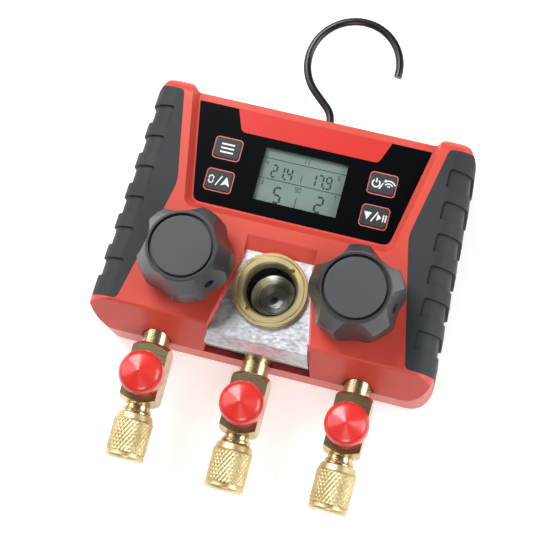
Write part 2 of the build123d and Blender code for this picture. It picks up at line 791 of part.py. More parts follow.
frame_half = lcd_half + lcd_rim
frame_height = lcd_height + 2 * lcd_rim
with BuildPart() as lcd_frame:
    with BuildSketch(Plane.XY.offset(board_top_z)):
        with Locations((0, lcd_centre_y)):
            Rectangle(2 * frame_half, frame_height)
    extrude(amount=window_low_z - board_top_z)
    with BuildSketch(Plane.XY.offset(glass_top_z - lcd_t)):
        with Locations((0, lcd_centre_y)):
            Rectangle(2 * (lcd_half + lcd_rim / 2), lcd_height + lcd_rim)
    extrude(amount=lcd_t + 5, mode=Mode.SUBTRACT)
keep(lcd_frame, "lcd_frame")

flange_z = mat_top_z + blister + button_travel + run_gap
cap_names = ("left_upper_button", "right_upper_button", "left_lower_button", "right_lower_button")
for name, (x, y) in zip(cap_names, button_points):
    with BuildPart() as button:
        with BuildSketch(Plane.XY.offset(flange_z)):
            with Locations((x, y)):
                RectangleRounded(button_w, button_h, button_r)
        extrude(amount=panel_z + button_proud - flange_z)
        fillet(faces().sort_by(Axis.Z)[-1].edges(), 0.35)
    keep(button, name)

with BuildPart() as keypad_mat:
    with BuildSketch(Plane.XY.offset(board_top_z)):
        with Locations((0, lcd_centre_y)):
            Rectangle(2 * (button_x + button_w), frame_height + 6)
            Rectangle(2 * (frame_half + free_gap), frame_height + 2 * free_gap, mode=Mode.SUBTRACT)
    extrude(amount=mat_t)
    # a spring blister under each button, clear of its full travel
    with BuildSketch(Plane.XY.offset(mat_top_z)):
        with Locations(*button_points):
            Circle(2.0)
    extrude(amount=blister)
keep(keypad_mat, "keypad_mat")

with BuildPart() as main_board:
    with BuildSketch(Plane.XY.offset(board_top_z - board_t)):
        with Locations((0, (board_low_y + board_high_y) / 2)):
            Rectangle(2 * board_half, board_high_y - board_low_y)
    extrude(amount=board_t)
keep(main_board, "main_board")

# ---------------------------------------------------------------------------
# Front shell
# ---------------------------------------------------------------------------

front_cavity = cavity(slope_y(cavity_z) + block_shift, part_z, cavity_z)
with BuildPart() as front_shell:
    add(outer_form)
    split(bisect_by=parting, keep=Keep.TOP)
    add(grip_bed.part, mode=Mode.SUBTRACT)
    add(mirror(grip_bed.part, about=Plane.YZ, mode=Mode.PRIVATE), mode=Mode.SUBTRACT)
    # recess of the display, open at the top edge, with leaning walls
    open_top = pillar_top_y + 10
    past_face = (face_z + 1 - panel_z) / (face_z - panel_z)
    recess_low = window_face(panel_z, window_border, 0, 0, open_top)
    recess_high = window_face(face_z + 1, window_border, recess_draft * past_face,
                              recess_bottom_draft * past_face, open_top)
    loft([recess_low.face(), recess_high.face()], ruled=True, mode=Mode.SUBTRACT)
    # pocket of the window, then room for the display and the buttons
    extrude(window_face(window_low_z, seat_gap), amount=face_z, mode=Mode.SUBTRACT)
    with BuildSketch(parting):
        with Locations((0, lcd_centre_y)):
            Rectangle(2 * (frame_half + seat_gap), frame_height + 2 * seat_gap)
    extrude(amount=panel_z - part_z, mode=Mode.SUBTRACT)
    extrude(Location((0, 0, part_z)) * button_face(free_gap), amount=panel_z - part_z,
            mode=Mode.SUBTRACT)
    # flared opening over the block, with the slope above it
    loft([opening_face(block_face_z, 0, 0).face(),
          opening_face(face_z + 1, 0, cut_side_draft).face()], ruled=True, mode=Mode.SUBTRACT)
    extrude(opening_face(part_z, 0, 0), amount=face_z - part_z, mode=Mode.SUBTRACT)
    slope_half = cut_top_half + cut_side_draft
    with BuildSketch(Plane.YZ.offset(-slope_half)):
        with BuildLine():
            Polyline((cut_top_y - 1, block_face_z), (cut_top_y, block_face_z),
                     (cut_top_y + cut_slope, face_z), (cut_top_y + cut_slope, face_z + 1),
                     (cut_top_y - 1, face_z + 1), close=True)
        make_face()
    extrude(amount=2 * slope_half, mode=Mode.SUBTRACT)
    # cavity under the display
    add(front_cavity, mode=Mode.SUBTRACT)
    # pocket of the block, one skin gap below the bottom slope
    extrude(block_side(Plane.YZ.offset(-block_half - free_gap), part_z, free_gap),
            amount=2 * (block_half + free_gap), mode=Mode.SUBTRACT)
    # clearance holes of the valve bonnets, half holes of the port stubs
    for side in sides:
        add(rod(valve_plane(side), bonnet_hole_r, part_z, face_z + 1), mode=Mode.SUBTRACT)
    for port in ports:
        add(rod(port_plane(port), stub_r + free_gap, -block_low_y - 2, -2 * bottom_y),
            mode=Mode.SUBTRACT)
    # screw bosses with pilot holes
    for side in sides.values():
        for x, y in boss_points:
            boss = rod(front_axis(side * x, y), boss_r, part_z, cavity_z + 1)
            add(boss & skin_form)
            add(rod(front_axis(side * x, y), screw_r, part_z, part_z + screw_bite),
                mode=Mode.SUBTRACT)
keep(front_shell, "front_shell")

# ---------------------------------------------------------------------------
# Rear shell, battery door, batteries
# ---------------------------------------------------------------------------

bay_half = cell_length + cell_nipple + cell_split + holder_wall + free_gap
bay_low_y = cell_rows[0] - cell_r - holder_wall - free_gap
bay_high_y = cell_rows[1] + cell_r + holder_wall + free_gap
bush_plane = Plane(origin=(hook_x, 0, hook_z), x_dir=(1, 0, 0), z_dir=(0, 1, 0))

with BuildPart() as rear_shell:
    add(outer_form)
    split(bisect_by=parting, keep=Keep.BOTTOM)
    add(grip_bed.part, mode=Mode.SUBTRACT)
    add(mirror(grip_bed.part, about=Plane.YZ, mode=Mode.PRIVATE), mode=Mode.SUBTRACT)
    add(cavity(bottom_y + cavity_inset, cavity_inset, part_z), mode=Mode.SUBTRACT)
    # pedestals of the block, bosses of the housing screws
    for side in sides.values():
        for x, y in block_screw_points:
            add(rod(front_axis(side * x, y), block_screw_head_r + wall, wall, block_back_z))
        for x, y in boss_points:
            add(rod(front_axis(side * x, y), boss_r, wall, part_z) & skin_form)
    # room for the block's nose
    with BuildSketch(Plane.XY.offset(block_back_z - free_gap)):
        with Locations((0, (boss_low_y - free_gap) / 2)):
            Rectangle(2 * (cut_low_half + free_gap), -(boss_low_y - free_gap))
    extrude(amount=part_z, mode=Mode.SUBTRACT)
    # battery bay with a ledge for its door
    add(bar(bay_half, bay_low_y, bay_high_y, -1, cavity_inset), mode=Mode.SUBTRACT)
    add(bar(bay_half + door_ledge, bay_low_y - door_ledge, bay_high_y + door_ledge, -1,
            door_recess + door_t), mode=Mode.SUBTRACT)
    # port stubs, hook bush
    for port in ports:
        add(rod(port_plane(port), stub_r + free_gap, -block_low_y - 2, -2 * bottom_y),
            mode=Mode.SUBTRACT)
    add(rod(bush_plane, bush_r, top_y - cavity_inset - 1, pillar_top_y), mode=Mode.SUBTRACT)
    # screw holes with sunk heads
    for side in sides.values():
        for x, y in boss_points:
            add(rod(front_axis(side * x, y), screw_r + run_gap, -1, part_z + 1), mode=Mode.SUBTRACT)
            add(rod(front_axis(side * x, y), screw_head_r + run_gap, -1, screw_sink),
                mode=Mode.SUBTRACT)
        for x, y in block_screw_points:
            add(rod(front_axis(side * x, y), block_screw_r + run_gap, -1, part_z), mode=Mode.SUBTRACT)
            add(rod(front_axis(side * x, y), block_screw_head_r + run_gap, -1, screw_sink),
                mode=Mode.SUBTRACT)
keep(rear_shell, "rear_shell")

door_half = bay_half + door_ledge - seat_gap
with BuildPart() as battery_door:
    add(bar(door_half, bay_low_y - door_ledge + seat_gap, bay_high_y + door_ledge - seat_gap,
            door_recess, door_recess + door_t))
    fillet(edges().filter_by(Axis.Z), 1.0)
    # finger ribs near the lower edge
    with BuildSketch(Plane.XY.offset(door_recess)):
        with GridLocations(0, 2.2, 1, 4):
            with Locations((0, bay_low_y + 7)):
                SlotOverall(26, 1.1)
    extrude(amount=0.6, mode=Mode.SUBTRACT)
keep(battery_door, "battery_door")

with BuildPart() as battery_holder:
    add(bar(bay_half - free_gap, bay_low_y + free_gap, bay_high_y - free_gap,
            door_recess + door_t + seat_gap, cell_z + cell_r + holder_wall))
    # flange that stands on the inner face of the back wall
    add(bar(bay_half + 1.5, bay_low_y - 1.5, bay_high_y + 1.5, cavity_inset, cavity_inset + 1.2))
    for y in cell_rows:
        for side in (-1, 1):
            centre_x = side * (cell_split + (cell_length + cell_nipple) / 2)
            with Locations((centre_x, y, cell_z)):
                Cylinder(cell_r + run_gap, cell_length + cell_nipple + 2 * run_gap,
                         rotation=(0, 90, 0), mode=Mode.SUBTRACT)
            with Locations((centre_x, y, cell_z - cell_r)):
                Box(cell_length + cell_nipple + 2 * run_gap, 2 * (cell_r + run_gap), 2 * cell_r,
                    mode=Mode.SUBTRACT)
keep(battery_holder, "battery_holder")

with BuildPart() as batteries:
    for row, y in enumerate(cell_rows):
        for side in (-1, 1):
            start = side * cell_split
            outwards = Plane(origin=(start, y, cell_z), x_dir=(0, 1, 0), z_dir=(side, 0, 0))
            flip = (row == 0) == (side == 1)
            body_start = 0.0 if flip else cell_nipple
            add(rod(outwards, cell_r, body_start, body_start + cell_length))
            if flip:
                add(rod(outwards, cell_nipple_r, cell_length, cell_length + cell_nipple))
            else:
                add(rod(outwards, cell_nipple_r, 0, cell_nipple))
keep(batteries, "batteries")

# ---------------------------------------------------------------------------
# Pressure sensors and screws
# ---------------------------------------------------------------------------

with BuildPart() as pressure_sensors:
    for side in sides.values():
        sensor_axis = Plane(origin=(side * sensor_x, block_top_y, sensor_z), x_dir=(1, 0, 0),
                            z_dir=(0, 1, 0))
        add(rod(sensor_axis, sensor_r, 0, sensor_length))
        add(rod(sensor_axis, sensor_neck_r, -5, 0))
keep(pressure_sensors, "pressure_sensors")

with BuildPart() as housing_screws:
    for side in sides.values():
        for x, y in boss_points:
            add(rod(front_axis(side * x, y), screw_head_r, screw_sink - screw_head, screw_sink))
            add(rod(front_axis(side * x, y), screw_r, screw_sink, part_z + screw_bite))
keep(housing_screws, "housing_screws")

with BuildPart() as block_screws:
    for side in sides.values():
        for x, y in block_screw_points:
            add(rod(front_axis(side * x, y), block_screw_head_r, screw_sink - screw_head, screw_sink))
            add(rod(front_axis(side * x, y), block_screw_r, screw_sink, block_back_z + screw_bite))
keep(block_screws, "block_screws")

# ---------------------------------------------------------------------------
# Hook with its bush and clip
# ---------------------------------------------------------------------------

with BuildPart() as hook:
    with BuildLine(Plane(origin=(hook_x, 0, hook_z), x_dir=(1, 0, 0), z_dir=(0, 0, 1))) as wire:
        stem = Line((0, hook_low_y), (0, hook_bend_y))
        bend = JernArc(stem @ 1, stem % 1, hook_bend_r, hook_bend_angle)
        run = Line(bend @ 1, bend @ 1 + (bend % 1) * hook_run)
        loop_arc = JernArc(run @ 1, run % 1, hook_loop_r, -hook_loop_angle)
        JernArc(loop_arc @ 1, loop_arc % 1, hook_end_r, -hook_end_angle)
    with BuildSketch(Plane(origin=(hook_x, hook_low_y, hook_z), z_dir=(0, 1, 0))):
        Circle(wire_r)
    sweep(path=wire.wire())
keep(hook, "hook")

bush_inner_y = top_y - cavity_inset
with BuildPart() as hook_bush:
    add(rod(bush_plane, bush_r, bush_inner_y, top_y))
    add(rod(bush_plane, bush_flange_r, top_y, top_y + bush_flange_t))
    chamfer(faces().sort_by(Axis.Y)[-1].edges(), 0.4)
    add(rod(bush_plane, wire_r + run_gap, bush_inner_y - 1, top_y + bush_flange_t + 1),
        mode=Mode.SUBTRACT)
keep(hook_bush, "hook_bush")

with BuildPart() as hook_clip:
    add(rod(bush_plane, clip_r, bush_inner_y - 0.2 - clip_t, bush_inner_y - 0.2))
    add(rod(bush_plane, wire_r, 0, pillar_top_y), mode=Mode.SUBTRACT)
keep(hook_clip, "hook_clip")
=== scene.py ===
# %% [markdown]
# A refrigerant manifold gauge: two valves, three hose ports, a sight glass and a display.
# The imported model gives every rigid piece at its true size and place, so this lesson is about
# surfaces: how each finish is mixed, and how fine forms such as knurling and printed marks are
# worked out with numpy. First the frame is loaded.

# %% Load the frame
import math
import bpy
import numpy as np
from mathutils import Matrix, Vector


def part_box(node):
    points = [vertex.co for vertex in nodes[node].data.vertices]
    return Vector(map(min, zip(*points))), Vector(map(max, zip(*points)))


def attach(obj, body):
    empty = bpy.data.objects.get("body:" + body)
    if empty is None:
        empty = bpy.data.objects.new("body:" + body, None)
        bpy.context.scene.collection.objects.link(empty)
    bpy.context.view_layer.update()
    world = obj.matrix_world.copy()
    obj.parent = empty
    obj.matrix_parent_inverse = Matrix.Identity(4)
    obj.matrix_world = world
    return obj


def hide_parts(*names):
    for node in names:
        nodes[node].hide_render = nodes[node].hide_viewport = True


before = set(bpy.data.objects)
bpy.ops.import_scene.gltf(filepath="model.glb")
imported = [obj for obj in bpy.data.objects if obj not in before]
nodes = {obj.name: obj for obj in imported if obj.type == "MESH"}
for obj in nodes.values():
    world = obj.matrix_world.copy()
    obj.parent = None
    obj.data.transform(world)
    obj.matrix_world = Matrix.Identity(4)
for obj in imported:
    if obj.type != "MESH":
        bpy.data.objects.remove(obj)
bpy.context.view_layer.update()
MM = 0.001

# %% [markdown]
# The camera hangs high above the front face, a little to the right and below, and it is rolled,
# so the tool leans to one side. A long lens keeps the sides nearly parallel. A tracking
# constraint could aim it, but it has no roll, so three angles are turned into the camera's own
# axes and written to its matrix.

# %% Camera
azimuth, elevation, roll = (math.radians(a) for a in (36.339, 77.012, 14.938))
eye = Vector((80.04, -102.49, 626.71)) * MM
back = Vector((math.sin(azimuth) * math.cos(elevation), -math.cos(azimuth) * math.cos(elevation),
               math.sin(elevation)))
right = Vector((0, 1, 0)).cross(back).normalized()
up = back.cross(right)
leaning_right = right * math.cos(roll) + up * math.sin(roll)
leaning_up = up * math.cos(roll) - right * math.sin(roll)
lens = bpy.data.cameras.new("picture_camera")
lens.lens = 104.04
lens.sensor_width = 36.0
lens.clip_start = 0.01
camera = bpy.data.objects.new("picture_camera", lens)
axes = Matrix((leaning_right, leaning_up, back)).transposed().to_4x4()
camera.matrix_world = Matrix.Translation(eye) @ axes
bpy.context.scene.collection.objects.link(camera)
bpy.context.scene.camera = camera
print("camera at", [round(c, 3) for c in eye])

# %% [markdown]
# A finish is a small graph of nodes. Written out by hand it is long and hard to read, so one
# class wraps a socket and lets Python's own signs add the Math nodes: 1 - mask, a * b and so on.
# A second class holds a node tree and adds any other node in one call, and a third one is a
# material: the same tree with a Principled shader to feed. Constants are set on the shader, and
# only what really changes over a surface becomes nodes.

# %% Shader helpers
class Value:
    """An output socket that arithmetic signs turn into Math nodes."""

    def __init__(self, graph, socket):
        self.graph = graph
        self.socket = socket

    def math(self, operation, *others):
        """Any other operation of the Math node, by its name."""
        return self.graph.add("ShaderNodeMath", {"operation": operation},
                              dict(enumerate((self, *others))))

    def __add__(self, other):
        return self.math("ADD", other)

    __radd__ = __add__

    def __mul__(self, other):
        return self.math("MULTIPLY", other)

    __rmul__ = __mul__

    def __sub__(self, other):
        return self.math("SUBTRACT", other)

    def __rsub__(self, other):
        return (self * -1.0) + other

    def ramp(self, low, high):
        """0 below low, 1 above high, smooth between."""
        return self.graph.add("ShaderNodeMapRange", {"interpolation_type": "SMOOTHSTEP"},
                              {"Value": self, "From Min": low, "From Max": high})


class Graph:
    """A node tree and short ways to add to it."""

    def __init__(self, tree, coordinates):
        self.tree = tree
        self.place = self.add("ShaderNodeTexCoord", {}, {}, coordinates)

    def add(self, kind, settings, inputs, out=0):
        """Adds a node: its settings first, then the value or the link of each input."""
        node = self.tree.nodes.new(kind)
        for key, value in settings.items():
            setattr(node, key, value)
        for key, value in inputs.items():
            if isinstance(value, Value):
                self.tree.links.new(value.socket, node.inputs[key])
            else:
                node.inputs[key].default_value = value
        return Value(self, node.outputs[out])

    def axis(self, letter):
        """One coordinate of the place that is shaded."""
        return self.add("ShaderNodeSeparateXYZ", {}, {"Vector": self.place}, letter)

    def noise(self, size, detail=3.0, stretch=(1.0, 1.0, 1.0)):
        """Noise whose lumps are about size metres across, squeezed by stretch along X, Y, Z."""
        where = self.add("ShaderNodeVectorMath", {"operation": "MULTIPLY"},
                         {0: self.place, 1: stretch})
        return self.add("ShaderNodeTexNoise", {},
                        {"Vector": where, "Scale": 1.0 / size, "Detail": detail})

    def mix(self, mask, first, second):
        """Colour that goes from first to second as mask goes from 0 to 1."""
        return self.add("ShaderNodeMix", {"data_type": "RGBA"}, {0: mask, 6: first, 7: second}, 2)


class Finish(Graph):
    """A material: a graph that feeds a Principled shader. Constants are set on its sockets."""

    def __init__(self, name, **constants):
        self.material = bpy.data.materials.new(name)
        self.material.use_nodes = True
        super().__init__(self.material.node_tree, "Object")
        self.shader = self.tree.nodes["Principled BSDF"]
        for key, value in constants.items():
            self.shader.inputs[key.replace("_", " ")].default_value = value

    def feed(self, name, value):
        """Links a value to one socket of the shader."""
        self.tree.links.new(value.socket, self.shader.inputs[name])

    def bump(self, height, depth):
        """Feeds the normal with a height of 0 to 1 that is depth metres tall."""
        self.feed("Normal", self.add("ShaderNodeBump", {}, {"Height": height, "Distance": depth}))


def tint(red, green, blue):
    """Colour given in 0 to 255 screen values, turned into the linear values shaders use."""
    screen = np.array((red, green, blue)) / 255.0
    linear = np.where(screen <= 0.04045, screen / 12.92, ((screen + 0.055) / 1.055) ** 2.4)
    return (*linear.tolist(), 1.0)


def dress(finish, *names):
    """Puts a finish on CAD nodes, which keep their meshes."""
    for name in names:
        mesh = nodes[name].data
        mesh.materials.clear()
        mesh.materials.append(finish.material)


print("one finish needs one class:", Finish.__name__)

# %% [markdown]
# Soft light comes from large panels, as in a product studio. A big panel at the upper left is the
# key, two weaker ones fill from the right and the left, and a small one below puts highlights on
# the turned brass. A single sun would be simpler, but its hard edge would show in every glossy
# face. The world is bright round the horizon and dimmer overhead and towards both ends of the
# tool: faces that look straight up mirror little light, so the black window stays black, and the
# end faces of the housing come out a shade deeper.

# %% Lights and floor
def panel(name, place, aim, size, energy):
    """Square area light at place, pointed at aim; lengths in metres, energy in watts."""
    light = bpy.data.lights.new(name, "AREA")
    light.shape = "SQUARE"
    light.size = size
    light.energy = energy
    lamp = bpy.data.objects.new(name, light)
    lamp.location = place
    lamp.rotation_euler = (Vector(aim) - Vector(place)).to_track_quat("-Z", "Y").to_euler()
    bpy.context.scene.collection.objects.link(lamp)
    return lamp


middle = (0, 0.02, 0.02)
wide, narrow = 0.6, 0.3
panel("key_panel", (-0.52, 0.56, 0.84), middle, wide, 13)
panel("fill_panel", (0.85, 0.1, 0.55), middle, wide, 7)
panel("side_panel", (-0.85, 0.0, 0.55), middle, wide, 3)
panel("strip_panel", (0.15, -0.7, 0.6), middle, narrow, 2.5)
world = bpy.data.worlds.new("studio")
world.use_nodes = True
sky = Graph(world.node_tree, "Generated")
height = sky.axis("Z")
ends = sky.axis("Y").math("ABSOLUTE")
horizon, overhead_loss, end_loss = 1.1, 0.3, 0.3
glow = horizon - height.ramp(0.35, 0.95) * overhead_loss - ends.ramp(0.4, 0.95) * end_loss
world.node_tree.links.new(glow.socket, world.node_tree.nodes["Background"].inputs["Strength"])
bpy.context.scene.world = world
bpy.context.scene.view_settings.view_transform = "Standard"

reach, floor_drop = 3.0, 0.2 * MM
floor_mesh = bpy.data.meshes.new("floor")
floor_mesh.from_pydata([(-reach, -reach, 0), (reach, -reach, 0), (reach, reach, 0),
                        (-reach, reach, 0)], [], [(0, 1, 2, 3)])
floor_mesh.transform(Matrix.Translation((0, 0, -floor_drop)))
floor = bpy.data.objects.new("floor", floor_mesh)
bpy.context.scene.collection.objects.link(floor)

# %% [markdown]
# Moulded plastic and rubber. A mould is spark-eroded, and leaves a fine grain on what comes out of
# it, so a highlight is wide and slightly broken. Grips are rubber, duller and a little uneven,
# because hands polish it. All of them share one recipe: a coarse cloud that drifts between two
# near colours and moves the roughness with it, and a fine noise as the bump. A scratch map or a
# painted texture would say more, but new pieces fresh from the box have no scratches.

# %% Moulded finishes
def moulded(name, colour, shade, roughness, grain=0.0006, depth=0.00002, coat=0.0, gloss=0.35):
    """Plastic that drifts between colour and shade, with a fine moulded grain."""
    finish = Finish(name, Coat_Weight=coat, Coat_Roughness=0.08, Specular_IOR_Level=gloss)
    cloud = finish.noise(0.03, 4.0)
    finish.feed("Base Color", finish.mix(cloud.ramp(0.35, 0.7), colour, shade))
    finish.feed("Roughness", cloud * 0.12 + (roughness - 0.06))
    finish.bump(finish.noise(grain, 2.0), depth)
    return finish


grip_rubber = moulded("grip_rubber", tint(47, 50, 53), tint(40, 43, 46), 0.62, 0.0004, 0.00004)
knob_plastic = moulded("knob_plastic", tint(44, 46, 49), tint(37, 39, 42), 0.34, 0.0005, 0.00001,
                       gloss=0.8)
disc_grey = moulded("disc_grey", tint(76, 77, 80), tint(70, 71, 74), 0.42, 0.0003, 0.00001)
frame_plastic = moulded("frame_plastic", tint(26, 27, 29), tint(20, 21, 23), 0.5)
button_rubber = moulded("button_rubber", tint(48, 51, 56), tint(42, 45, 50), 0.5, 0.0003, 0.00001)
seal_black = moulded("seal_black", tint(16, 16, 16), tint(11, 11, 11), 0.6, gloss=0.15)
hook_black = moulded("hook_black", tint(22, 22, 23), tint(17, 17, 18), 0.3, 0.002, 0.00001,
                     gloss=0.5)
board_green = moulded("board_green", tint(30, 90, 60), tint(24, 80, 52), 0.4)
cell_wrap = moulded("cell_wrap", tint(70, 72, 78), tint(60, 62, 68), 0.35)
dress(grip_rubber, "left_grip_front", "right_grip_front", "left_grip_rear", "right_grip_rear")
dress(knob_plastic, "left_knob", "right_knob")
dress(disc_grey, "left_knob_disc", "right_knob_disc")
dress(frame_plastic, "lcd_frame", "battery_holder", "hook_bush")
dress(button_rubber, "left_upper_button", "right_upper_button", "left_lower_button",
      "right_lower_button", "keypad_mat")
dress(seal_black, "sight_gasket", "sight_oring", "left_flare_cap_seal",
      "centre_flare_cap_seal", "right_flare_cap_seal")
dress(hook_black, "hook")
dress(board_green, "main_board")
dress(cell_wrap, "batteries")
print("moulded finishes:", len(bpy.data.materials))

# %% [markdown]
# The two shells are red and meet at a parting line round the side, where a little dirt settles.
# A real groove would be another cut in both shells. It is only a few tenths of a millimetre
# wide, so a mask does it here: the distance of a point from the parting plane makes a gutter in
# the bump and a darker line in the colour.

# %% Housing finish
housing_red = Finish("housing_red", Specular_IOR_Level=0.4)
joint_height = 27.0 * MM
gutter_floor, gutter_edge = 0.08 * MM, 0.28 * MM
from_joint = (housing_red.axis("Z") - joint_height).math("ABSOLUTE")
gutter = 1 - from_joint.ramp(gutter_floor, gutter_edge)
red_cloud = housing_red.noise(0.03, 4.0)
red = housing_red.mix(red_cloud.ramp(0.35, 0.7), tint(208, 75, 61), tint(201, 69, 55))
housing_red.feed("Base Color", housing_red.mix(gutter, red, tint(120, 22, 16)))
housing_red.feed("Roughness", red_cloud * 0.12 + gutter * 0.2 + 0.34)
housing_red.bump(housing_red.noise(0.0006, 2.0) - gutter * 8, 0.00002)
dress(housing_red, "front_shell", "rear_shell", "battery_door")
print("parting line in millimetres:", round(joint_height / MM, 2))

# %% [markdown]
# Glossy pieces. The window over the display is clear plastic, printed black from behind, the
# label plate is a plain red foil, and the dust caps are dipped in vinyl with a soft shine. They
# use the moulded recipe with a much coarser grain, which only ripples the highlight. The sight
# glass could be a true refracting glass, but it is thin, and light that is bent twice turns a
# small deep chamber noisy. So it's mostly see-through by its Alpha, with a clean reflection.

# %% Glossy finishes
window_black = moulded("window_black", tint(9, 11, 14), tint(6, 8, 10), 0.18, 0.01, 0.00001,
                       gloss=0.14)
label_red = moulded("label_red", tint(206, 50, 44), tint(200, 46, 40), 0.3, 0.01, 0.00001,
                    coat=0.2)
dust_red = moulded("dust_red", tint(220, 52, 46), tint(212, 46, 40), 0.3, 0.006, 0.00003,
                   coat=0.35, gloss=0.5)
lcd_grey = moulded("lcd_grey", tint(116, 134, 130), tint(108, 126, 122), 0.3, 0.01, 0.00001,
                   coat=0.1)
dress(window_black, "display_window")
dress(label_red, "label_plate")
dress(dust_red, "left_dust_cap", "centre_dust_cap", "right_dust_cap")
dress(lcd_grey, "lcd_glass")
clear_glass = Finish("clear_glass", Base_Color=(0.04, 0.05, 0.05, 1), Roughness=0.03, Alpha=0.06)
dress(clear_glass, "sight_glass")
print("glass lets through:", 1 - clear_glass.shader.inputs["Alpha"].default_value)

# %% [markdown]
# Brass and steel. A lathe leaves fine rings round the axis of what it turns. An anisotropic
# shader could fake them, but it smears every highlight alike. Here the rings are noise that is
# squeezed along the axis and left long across it, so they read as tool marks. Brass also goes a
# little brown in patches, and that drift is mixed into the colour. The metal is a tenth short of
# full, which keeps the hollows of the fittings from going black.

# %% Metals
def turned_metal(name, colour, shade, roughness, along, ring=0.00025, depth=0.000012):
    """Metal with tool rings across the axis named along."""
    finish = Finish(name, Metallic=0.9)
    squeeze = tuple(1.0 if letter == along else 0.04 for letter in "XYZ")
    rings = finish.noise(ring, 3.0, squeeze)
    patches = finish.noise(0.006, 4.0)
    finish.feed("Base Color", finish.mix(patches.ramp(0.35, 0.75), colour, shade))
    finish.feed("Roughness", patches * 0.15 + rings * 0.12 + (roughness - 0.12))
    finish.bump(rings, depth)
    return finish


brass_ports = turned_metal("brass_ports", tint(210, 188, 146), tint(178, 150, 112), 0.24, "Y",
                           0.0005, 0.000004)
brass_front = turned_metal("brass_front", tint(244, 228, 176), tint(232, 212, 154), 0.3, "Z")
brass_caps = turned_metal("brass_caps", tint(216, 200, 152), tint(192, 172, 124), 0.42, "Y")
steel = turned_metal("steel", tint(190, 190, 190), tint(160, 160, 162), 0.35, "Z")
dress(brass_ports, "left_port_fitting", "centre_port_fitting", "right_port_fitting",
      "left_flare_cap", "centre_flare_cap", "right_flare_cap")
dress(brass_front, "sight_ring", "left_valve_bonnet", "right_valve_bonnet", "left_valve_piston",
      "right_valve_piston", "left_valve_core", "centre_valve_core", "right_valve_core")
dress(steel, "left_valve_stem", "right_valve_stem", "left_knob_set_screw", "right_knob_set_screw",
      "housing_screws", "block_screws", "pressure_sensors", "hook_clip")
print("brass rings run across Y on the ports and across Z on the sight glass")

# %% [markdown]
# The manifold block is a light alloy that was tumbled after machining, so its face is pale and
# mottled. Inside the chamber the cutter left it bright, with rings, and its colour there is also
# painted near white: painted light where the lamps hardly reach so deep. Two materials on one
# mesh would need its faces picked out, so one mask does it: the distance from the chamber's axis
# moves the finish from one to the other. The chamber's cone gets the rings alone, in the bump
# and in the colour, where their lighter bands are painted highlight arcs.

# %% Block
def from_z_axis(graph):
    """Distance from the Z axis: the root of X squared plus Y squared."""
    x_squared = graph.axis("X") * graph.axis("X")
    y_squared = graph.axis("Y") * graph.axis("Y")
    return (x_squared + y_squared).math("SQRT")


def cut_rings(distance, feed_per_turn):
    """Rings of -1 to 1: the sine of a full turn for each feed of the cutter."""
    return (distance * (2 * math.pi / feed_per_turn)).math("SINE")


block_alloy = Finish("block_alloy")
mottle = block_alloy.noise(0.004, 6.0)
speck = block_alloy.noise(0.0011, 4.0, (0.6, 1.0, 1.0))
patches = (speck * 0.6 + mottle * 0.4).ramp(0.34, 0.62)
pale = block_alloy.mix(patches, tint(206, 209, 216), tint(240, 242, 246))
from_axis = from_z_axis(block_alloy)
chamber_r, chamber_fade = 9.6 * MM, 0.3 * MM
outside = from_axis.ramp(chamber_r, chamber_r + chamber_fade)
tool_rings = cut_rings(from_axis, 1.5 * MM)
# Inside the chamber the colour is painted near white: painted light where the lamps hardly reach,
# over an alloy that is bright from the cutter.
block_alloy.feed("Base Color", block_alloy.mix(outside, tint(246, 248, 242), pale))
block_alloy.feed("Metallic", outside * 0.2 + 0.75)
block_alloy.feed("Roughness", outside * 0.14 + patches * 0.08 + 0.24)
block_alloy.bump((speck + mottle) * outside + tool_rings * (1 - outside) * 0.15, 0.00009)
dress(block_alloy, "manifold_block")

# The cone's colour is painted near white, a painted light, and the rings band it into lighter and
# darker stripes that are painted highlight arcs; the bump holds the real turned rings.
chamber_rings_painted_light = Finish("chamber_rings_painted_light", Metallic=0.85, Roughness=0.32)
cone_rings_and_highlights = cut_rings(from_z_axis(chamber_rings_painted_light), 1.1 * MM)
chamber_rings_painted_light.feed("Base Color", chamber_rings_painted_light.mix(
    cone_rings_and_highlights.ramp(-1.0, 1.0), tint(250, 251, 248), tint(226, 229, 226)))
chamber_rings_painted_light.bump(cone_rings_and_highlights, 0.00001)
print("chamber radius in the mask:", chamber_r)

# %% [markdown]
# Turned surfaces. Caps and threads are round, so each one is a profile turned about an axis. The
# Screw modifier could turn it, but it knows no relief that changes with the angle. So the points
# are worked out as one grid, station along the axis by angle, and a relief is taken off the
# radius before the grid is put in place. Which way the faces look follows from how the profile and
# place() wind. Those of the port threads, the knurled caps and the chamber cone look inwards.

# %% Turned surfaces
def triangle_wave(turns):
    """0 at whole numbers, 1 half-way between: twice the distance to the nearest whole number."""
    return 2.0 * np.abs(turns - np.round(turns))


def mesh_of(name, points, faces):
    """Mesh with the given points and faces, as they're wound."""
    mesh = bpy.data.meshes.new(name)
    mesh.from_pydata(points, [], faces)
    mesh.update()
    return mesh


